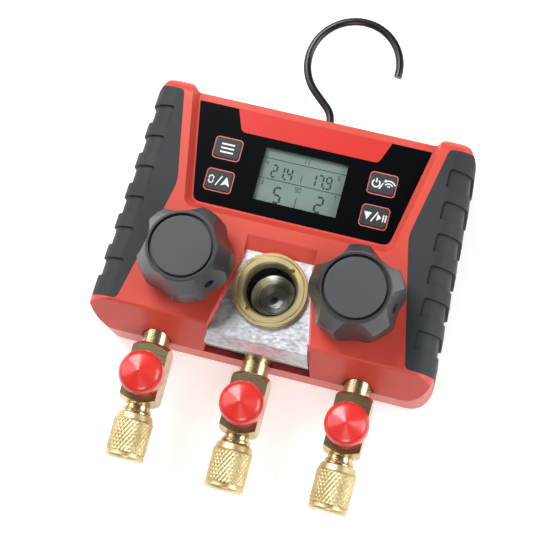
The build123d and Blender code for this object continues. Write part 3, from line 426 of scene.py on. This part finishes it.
def turned_mesh(name, stations, radii, columns, place, relief):
    """Closed mesh turned about an axis. A point is the station along the axis and the radius less
    relief(station, angle), carried into the frame by place(station, radius, angle). The first and
    last radius are zero, and close the ends with fans."""
    angle = np.linspace(0.0, 2.0 * np.pi, columns, endpoint=False)
    along, around = np.meshgrid(stations[1:-1], angle, indexing="ij")
    radius = radii[1:-1, None] - relief(along, around)
    rows = len(stations) - 2
    ring_points = place(along, radius, around).reshape(-1, 3)
    ends = place(stations[[0, -1]], np.zeros(2), np.zeros(2)).reshape(-1, 3)
    points = np.concatenate([ring_points, ends])
    row, column = np.meshgrid(np.arange(rows - 1), np.arange(columns), indexing="ij")
    following = (column + 1) % columns
    quads = np.stack([row * columns + column, row * columns + following,
                      (row + 1) * columns + following, (row + 1) * columns + column], -1)
    edge = np.arange(columns)
    first = np.stack([np.full(columns, rows * columns), (edge + 1) % columns, edge], -1)
    last_row = (rows - 1) * columns
    last = np.stack([np.full(columns, rows * columns + 1), last_row + edge,
                     last_row + (edge + 1) % columns], -1)
    faces = quads.reshape(-1, 4).tolist() + first.tolist() + last.tolist()
    return mesh_of(name, points, faces)


def add_piece(name, mesh, finish, body):
    """Object at the origin that rides on a body."""
    piece = bpy.data.objects.new(name, mesh)
    mesh.materials.append(finish.material)
    bpy.context.scene.collection.objects.link(piece)
    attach(piece, body)
    return piece


def smooth_profile(points, step):
    """Profile through the given (station, radius) corners, filled in so that no step is longer."""
    corners = np.array(points, float)
    pieces = []
    for start, end in zip(corners[:-1], corners[1:]):
        count = max(1, int(np.ceil(np.hypot(*(end - start)) / step)))
        share = np.linspace(0.0, 1.0, count, endpoint=False)[:, None]
        pieces.append(start + (end - start) * share)
    return np.concatenate(pieces + [corners[-1:]])


print("triangle wave at a quarter turn:", triangle_wave(np.array(0.25)))

# %% [markdown]
# The knurled caps. Knurling is two families of grooves that wind round the cap in opposite
# directions; where they cross they leave small diamonds. A bump would do from afar, but the
# diamonds break the cap's outline, so they're real. They're the lower of two triangle waves,
# taken off the radius between the collar and the polished rim.

# %% Knurled caps
knurl_teeth = 30
knurl_depth = 0.3 * MM
knurl_bias = 0.3
knurl_lean = math.tan(math.radians(30))
rim, groove_width, groove_depth = 2.4 * MM, 0.5 * MM, 0.45 * MM
collar = 2.9 * MM


def make_cap(port):
    """Cap that stands for the plain CAD one. Its profile is a bore, a collar that widens like a
    cone, the knurled body, a groove and a polished rim. The relief is the knurl's depth times one
    less the lower of two triangle waves, which wind opposite ways round the body. The bias is
    added to the second wave, because one of the two rollers always bites deeper."""
    low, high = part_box(f"{port}_flare_cap")
    centre_x, centre_z = (low[0] + high[0]) / 2, (low[2] + high[2]) / 2
    start, end = -high[1], -low[1]
    outer = (high[0] - low[0]) / 2
    bore, depth = 5.9 * MM, 13.0 * MM
    knurl_low, knurl_high = start + collar, end - rim - groove_width
    corners = [(start + depth, 0.0), (start + depth, bore), (start, bore),
               (start, outer - 1.3 * MM), (start + 0.3 * MM, outer - 0.95 * MM),
               (knurl_low - 0.6 * MM, outer - 0.4 * MM), (knurl_low, outer), (knurl_high, outer),
               (knurl_high + 0.1 * MM, outer - groove_depth),
               (knurl_high + groove_width, outer - groove_depth),
               (knurl_high + groove_width + 0.15 * MM, outer - 0.12 * MM),
               (end - 1.3 * MM, outer - 0.05 * MM), (end - 0.75 * MM, outer - 0.25 * MM),
               (end - 0.3 * MM, outer - 0.75 * MM), (end - 0.05 * MM, outer - 1.6 * MM),
               (end, outer - 3.0 * MM), (end, 0.0)]
    profile = smooth_profile(corners, 0.13 * MM)
    # the bore's wall passes the same stations, so the relief starts beyond the bore's mouth
    skin = np.cumsum(profile[:, 1] > bore + 0.1 * MM)[1:-1, None] > 0

    def place(station, radius, angle):
        return np.stack([centre_x + radius * np.sin(angle), -station + 0 * angle,
                         centre_z + radius * np.cos(angle)], -1)

    def relief(station, angle):
        wind = station * knurl_lean / outer
        one = triangle_wave(knurl_teeth * (angle + wind) / (2 * np.pi))
        other = triangle_wave(knurl_teeth * (angle - wind) / (2 * np.pi))
        within = skin & (station > knurl_low) & (station < knurl_high)
        return within * knurl_depth * (1.0 - np.minimum(one, other + knurl_bias))

    mesh = turned_mesh(f"{port}_cap_skin", profile[:, 0], profile[:, 1], 8 * knurl_teeth, place,
                       relief)
    cap = add_piece(f"{port}_knurled_cap", mesh, brass_caps, f"{port}_cap_body")
    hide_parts(f"{port}_flare_cap")
    return cap


port_names = ("left", "centre", "right")
caps = [make_cap(port) for port in port_names]
print("knurled cap faces:", [len(c.data.polygons) for c in caps])

# %% [markdown]
# Threads. A screw thread is one ridge that climbs by its pitch in each turn. It could be a small
# profile swept along a helix, which leaves two awkward ends. Taken along the axis instead, the
# radius is a triangle wave of the station less the share of a turn, so the same turned surface
# makes it. The root lies inside the plain CAD rod, and only the crests stand out.

# %% Threads
thread_pitch = 1.27 * MM
port_crest, port_root, port_length = 5.85 * MM, 5.4 * MM, 9.0 * MM
branch_crest, branch_root, branch_length = 5.63 * MM, 5.3 * MM, 6.4 * MM
run_out = 0.5 * MM


def make_thread(name, start, length, crest, root, place):
    """Thread of a length from a station on. The crest fades out at both ends, where a real die
    runs out: the ridge is the depth times the triangle wave times a fade."""
    stations = np.linspace(start, start + length, int(length / (0.12 * MM)))
    stations = np.concatenate([stations[:1], stations, stations[-1:]])
    radii = np.full(len(stations), crest)
    radii[[0, -1]] = 0.0

    def relief(station, angle):
        ridge = triangle_wave(station / thread_pitch - angle / (2 * np.pi))
        fade = np.clip(np.minimum(station - start, start + length - station) / run_out, 0, 1)
        return (crest - root) * (1 - ridge * fade)

    mesh = turned_mesh(name, stations, radii, 72, place, relief)
    return add_piece(name, mesh, brass_ports, "housing")


for port in port_names:
    cap_low, cap_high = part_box(f"{port}_flare_cap")
    port_x, port_z = (cap_low[0] + cap_high[0]) / 2, (cap_low[2] + cap_high[2]) / 2

    def along_port(station, radius, angle):
        return np.stack([port_x + radius * np.sin(angle), -station + 0 * angle,
                         port_z + radius * np.cos(angle)], -1)

    make_thread(f"{port}_port_thread", -cap_high[1] - 1.9 * MM, port_length, port_crest,
                port_root, along_port)
    dust_low, dust_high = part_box(f"{port}_dust_cap")
    branch_y = (dust_low[1] + dust_high[1]) / 2

    def along_branch(station, radius, angle):
        return np.stack([port_x + radius * np.cos(angle), branch_y + radius * np.sin(angle),
                         station + 0 * angle], -1)

    make_thread(f"{port}_branch_thread", dust_low[2] + 0.6 * MM, branch_length, branch_crest,
                branch_root, along_branch)
print("thread pitch in millimetres:", thread_pitch / MM)

# %% [markdown]
# The sight glass. Its brass ring has an outer lip that is set off by a fine groove, and a bore
# with a bright chamfer. Below lie a black gasket and the machined cone of the chamber. Each of
# them is a turned profile again, but open in the middle, so the profile is a loop: the first
# and last rings of points are joined to each other and no fan is needed. They're pieces of
# their own, because each takes another finish, and the CAD ring keeps its mesh.

# %% Sight glass
def add_ring(name, profile, columns, finish):
    """Closed ring on the housing. The profile is a loop of (radius, height), and each of its
    points goes round Z: radius times the cosine, radius times the sine, and the height."""
    angle = np.linspace(0.0, 2.0 * np.pi, columns, endpoint=False)
    radius, turn = np.meshgrid(profile[:, 0], angle, indexing="ij")
    level = np.repeat(profile[:, 1:], columns, axis=1)
    points = np.stack([radius * np.cos(turn), radius * np.sin(turn), level], -1).reshape(-1, 3)
    rows = len(profile)
    row, column = np.meshgrid(np.arange(rows), np.arange(columns), indexing="ij")
    next_row, next_column = (row + 1) % rows, (column + 1) % columns
    quads = np.stack([row * columns + column, row * columns + next_column,
                      next_row * columns + next_column, next_row * columns + column], -1)
    mesh = mesh_of(name, points, quads.reshape(-1, 4).tolist())
    return add_piece(name, mesh, finish, "housing")


ring_low, ring_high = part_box("sight_ring")
ring_radius = (ring_high[0] - ring_low[0]) / 2
seat_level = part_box("manifold_block")[1][2]
flange = np.array([(-0.05, 0.02), (0.7, 0.02), (1.0, 0.5), (1.0, 2.1), (0.85, 2.3), (0.15, 2.3),
                   (0.02, 2.1), (-0.05, 2.1)]) * MM + (ring_radius, seat_level)
add_ring("sight_flange", flange, 128, brass_front)
bore, spigot_low = 10.19 * MM, ring_low[2]
bore_chamfer, bore_taper = 0.7 * MM, 0.8 * MM
liner = np.array([(bore, spigot_low), (bore, ring_high[2] - bore_chamfer),
                  (bore - bore_taper, spigot_low)])
add_ring("sight_bore", liner, 128, brass_front)
gasket_r = 8.75
lip = np.array([(9.65, -0.03), (gasket_r, -0.03), (gasket_r, -1.37), (9.65, -1.37)])
add_ring("gasket_lip", lip * MM + (0, spigot_low), 96, seal_black)
sleeve = np.array([(9.17, -5.2), (gasket_r, -5.2), (gasket_r, -11.0), (9.17, -11.0)])
add_ring("gasket_sleeve", sleeve * MM + (0, spigot_low), 96, seal_black)
cone = np.array([(9.15, 27.4), (8.8, 27.3), (5.9, 25.7), (5.5, 25.1), (5.0, 24.1), (3.2, 23.4),
                 (1.2, 23.2), (1.2, 22.8), (9.15, 22.8)])
add_ring("chamber_cone", cone[::-1] * MM, 96, chamber_rings_painted_light)
print("flange radius in millimetres:", round(flange[:, 0].max() / MM, 2))

# %% [markdown]
# Printed marks. A print has no thickness worth a mesh of its own, and could be a mask in the
# material under it. Flat polygons just above the surface are sharper at any size, and easier to
# place. They're all made of a few shapes: a bar along a line, a rounded ring, and numbers. A
# seven-segment number is a set of bars, and a table says which bars each digit lights.

# %% Flat marks
def flat_mesh(name, shapes, height):
    """Flat polygons, given as lists of (x, y) in metres, all at one height."""
    points = np.concatenate([np.asarray(shape, float) for shape in shapes])
    corners = np.column_stack([points, np.full(len(points), height)])
    starts = np.cumsum([0] + [len(shape) for shape in shapes])
    faces = [list(range(a, b)) for a, b in zip(starts[:-1], starts[1:])]
    return mesh_of(name, corners, faces)


def bar_shape(start, end, width):
    """Rectangle of a width along a line, wound anticlockwise."""
    start, end = np.array(start, float), np.array(end, float)
    run = (end - start) / np.hypot(*(end - start))
    side = np.array((run[1], -run[0])) * width / 2
    return np.array([start + side, end + side, end - side, start - side])


def ring_shapes(centre, outer_half, corner, width, steps=8):
    """Quads of a rounded rectangular ring: the same outline drawn at two sizes and joined."""
    quarter = np.linspace(0, np.pi / 2, steps)
    angles = np.concatenate([quarter + k * np.pi / 2 for k in range(4)])
    signs = np.repeat([(1, 1), (-1, 1), (-1, -1), (1, -1)], steps, axis=0)

    def outline(inset):
        half = np.array(outer_half) - inset
        radius = max(corner - inset, 1e-5)
        arc = np.column_stack([np.cos(angles), np.sin(angles)]) * radius
        return np.array(centre) + signs * (half - radius) + arc

    outer, inner = outline(0.0), outline(width)
    following = np.roll(np.arange(len(outer)), -1)
    return list(np.stack([outer, outer[following], inner[following], inner], axis=1))


segments = {"a": ((0, 2), (1, 2)), "b": ((1, 2), (1, 1)), "c": ((1, 1), (1, 0)),
            "d": ((0, 0), (1, 0)), "e": ((0, 1), (0, 0)), "f": ((0, 2), (0, 1)),
            "g": ((0, 1), (1, 1))}
lit = {"0": "abcdef", "1": "bc", "2": "abged", "3": "abgcd", "4": "fgbc", "5": "afgcd",
       "6": "afgedc", "7": "abc", "8": "abcdefg", "9": "abcdfg"}


def number_shapes(text, corner, height, width, stroke):
    """Seven-segment shapes of a number whose lower left corner is given."""
    shapes = []
    x = corner[0]
    for sign in text:
        if sign == ".":
            dot = np.array((x - 0.25 * width, corner[1]))
            shapes.append(bar_shape(dot, dot + (stroke * 1.2, 0), stroke * 1.2))
            x += 0.2 * width
            continue
        for key in lit[sign]:
            ends = np.array(segments[key], float) * (width, height / 2) + (x, corner[1])
            run = ends[1] - ends[0]
            trim = run / np.hypot(*run) * stroke * 0.42
            shapes.append(bar_shape(ends[0] + trim, ends[1] - trim, stroke))
        x += width * 1.5
    return shapes


print("bars in an eight:", len(number_shapes("8", (0, 0), 1, 0.5, 0.1)))

# %% [markdown]
# The display. A liquid crystal display shows dark segments on a grey-green ground. Here it has
# two large readings above and two below, thin rules between them, and a few small numbers at
# the corners. They're plain numbers, and mean nothing.

# %% Display
lcd_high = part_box("lcd_glass")[1]
lcd_ink = moulded("lcd_ink", tint(38, 46, 46), tint(34, 42, 42), 0.5)
ink_height, rule = lcd_high[2] + 0.02 * MM, 0.3 * MM
lines = [(-16.4, 51.3, 16.4, 51.3), (-16.4, 43.2, 16.4, 43.2), (-0.2, 44.2, -0.2, 47.4),
         (-0.2, 34.0, -0.2, 38.4)]
shapes = [bar_shape((x0 * MM, y0 * MM), (x1 * MM, y1 * MM), rule) for x0, y0, x1, y1 in lines]
# each number, its lower left corner, and the height, width and stroke of its digits
numbers = [("21.4", -12.2, 44.3, 4.7, 1.9, 0.62), ("17.9", 3.4, 44.3, 4.7, 1.9, 0.62),
           ("5", -9.2, 34.5, 6.0, 2.7, 0.8), ("2", 7.4, 34.5, 6.0, 2.7, 0.8),
           ("11", -1.2, 52.1, 2.1, 0.9, 0.32), ("4", -15.2, 48.6, 1.7, 0.9, 0.26),
           ("6", 13.6, 48.6, 1.7, 0.9, 0.26), ("3", -15.2, 40.6, 1.7, 0.9, 0.26),
           ("7", 13.6, 40.6, 1.7, 0.9, 0.26), ("90", -1.6, 40.4, 1.8, 0.9, 0.28)]
for text, x, y, *size in numbers:
    shapes += number_shapes(text, (x * MM, y * MM), *(value * MM for value in size))
digits = flat_mesh("display_digits", shapes, ink_height)
add_piece("display_digits", digits, lcd_ink, "housing")
print("display shapes:", len(shapes))

# %% [markdown]
# The four keys bear simple signs: a list, a nought and an arrow, a power mark with waves, and
# an arrow with play and pause. They ride with their keys. The salmon outline round each key is
# printed on the window, so it stays when the key goes in.

# %% Key signs
salmon = moulded("salmon_print", tint(206, 110, 100), tint(198, 102, 92), 0.4)
white_print = moulded("white_print", tint(236, 238, 240), tint(228, 230, 232), 0.4)


def arc_shapes(centre, radius, width, start, end, steps=20):
    """Quads along an arc, angles in degrees."""
    angle = np.radians(np.linspace(start, end, steps))
    out = np.array(centre) + np.column_stack([np.cos(angle), np.sin(angle)]) * (radius + width / 2)
    inn = np.array(centre) + np.column_stack([np.cos(angle), np.sin(angle)]) * (radius - width / 2)
    return list(np.stack([out[:-1], out[1:], inn[1:], inn[:-1]], axis=1))


def key_sign(name):
    """Simple signs for one key, in millimetres about its centre."""
    if name == "left_upper":
        return [bar_shape((-2.4, y), (2.4, y), 0.6) for y in (-1.5, 0, 1.5)]
    slash = bar_shape((-0.9, -1.9), (0.9, 1.9), 0.45)
    if name == "left_lower":
        shapes = number_shapes("0", (-3.6, -1.3), 2.6, 1.5, 0.45)
        return shapes + [slash, np.array([(0.9, -1.6), (2.6, -0.9), (4.2, -1.6), (2.6, 1.8)])]
    if name == "right_upper":
        power = arc_shapes((-2.3, -0.1), 1.35, 0.5, 125, 415)
        waves = []
        for radius, steps in ((0.5, 8), (1.5, 10), (2.5, 12)):
            waves += arc_shapes((2.3, -0.9), radius, 0.45, 30, 150, steps)
        return power + [bar_shape((-2.3, 0.2), (-2.3, 1.8), 0.5), slash] + waves
    down = np.array([(-3.9, 1.3), (-2.5, -1.6), (-1.1, 1.3)])
    play = np.array([(1.0, -1.3), (2.6, 0.0), (1.0, 1.3)])
    return [down, slash, play] + [bar_shape((x, -1.3), (x, 1.3), 0.5) for x in (3.2, 4.1)]


print("bars on the list key:", len(key_sign("left_upper")))

# %% Key outlines
print_gap, sign_scale = 0.03 * MM, 1.08
panel_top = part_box("display_window")[1][2] + print_gap
outline_gap, outline_corner, outline_width = 0.55 * MM, 1.6 * MM, 0.42 * MM
for key in ("left_upper", "left_lower", "right_upper", "right_lower"):
    low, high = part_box(f"{key}_button")
    centre = np.array(((low[0] + high[0]) / 2, (low[1] + high[1]) / 2))
    half = np.array(((high[0] - low[0]) / 2, (high[1] - low[1]) / 2)) + outline_gap
    ring = ring_shapes(centre, half, outline_corner, outline_width)
    outline = flat_mesh(f"{key}_outline", ring, panel_top)
    add_piece(f"{key}_outline", outline, salmon, "housing")
    marks = [np.asarray(shape) * MM * sign_scale + centre for shape in key_sign(key)]
    sign = flat_mesh(f"{key}_sign", marks, high[2] + print_gap)
    add_piece(f"{key}_sign", sign, white_print, f"{key}_key")
print("keys dressed: 4")

# %% [markdown]
# The floor is a white sheet, lit so strongly that it loses nearly all shade. A part of that light
# is its own emission, which is simpler than one more lamp under it.

# %% Floor finish and closing
floor_white = Finish("floor_white", Emission_Color=(1.0, 1.0, 1.0, 1.0), Emission_Strength=0.45,
                     Roughness=0.7)
floor_cloud = floor_white.noise(0.5, 2.0)
floor_white.feed("Base Color", floor_white.mix(floor_cloud, tint(246, 246, 246),
                                               tint(243, 243, 243)))
floor_mesh.materials.append(floor_white.material)
